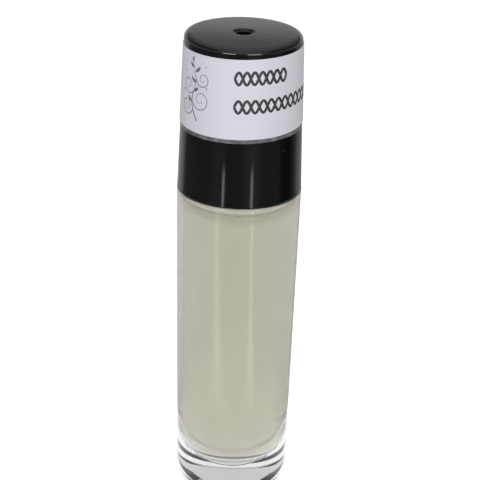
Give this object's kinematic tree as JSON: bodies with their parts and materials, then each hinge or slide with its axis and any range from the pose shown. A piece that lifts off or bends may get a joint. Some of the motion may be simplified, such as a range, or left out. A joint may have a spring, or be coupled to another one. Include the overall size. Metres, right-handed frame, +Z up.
{
  "type": "roll-on bottle",
  "caption": "Slim cylindrical glass bottle of perfume oil with a rolling ball in a snap-in housing and a tapered screw cap that wears a wrapped paper label.",
  "frame": {"origin": "centre of the bottle's foot, on the surface that it stands on", "axes": "+Z up along the bottle's axis; -Y is the front of the label; +X is to the right of the front"},
  "size_m": [0.0208, 0.0206, 0.0857],
  "materials": {
    "clear_glass": "gloss",
    "perfume_oil": "clear liquid",
    "natural_polyethylene": "satin",
    "polished_steel": "polished",
    "black_polypropylene": "gloss",
    "soft_polyethylene": "satin",
    "label_paper": "matte",
    "clear_film": "gloss"
  },
  "bodies": {
    "bottle": {"glass_bottle": "clear_glass", "perfume_oil": "perfume_oil", "ball_housing": "natural_polyethylene"},
    "roller_ball": {"roller_ball": "polished_steel"},
    "sealing_plug": {"sealing_plug": "soft_polyethylene"},
    "cap": {"screw_cap": "black_polypropylene", "paper_label": "label_paper", "label_film": "clear_film"}
  },
  "joints": [
    {"name": "cap_lift", "type": "slide", "parent": "bottle", "child": "sealing_plug", "axis": [0, 0, 1], "range_m": [0, 0.02401]},
    {"name": "cap_turn", "type": "hinge", "parent": "sealing_plug", "child": "cap", "pos_m": [0, 0, 0.0602], "axis": [0, 0, 1], "range_deg": [0, 2880]},
    {"name": "ball_roll", "type": "hinge", "parent": "bottle", "child": "roller_ball", "pos_m": [0, 0, 0.0728], "axis": [1, 0, 0], "continuous": true}
  ],
  "couplings": [
    {"joint": "cap_lift", "follows": "cap_turn", "m_per_rad": 0.00047746}
  ]
}
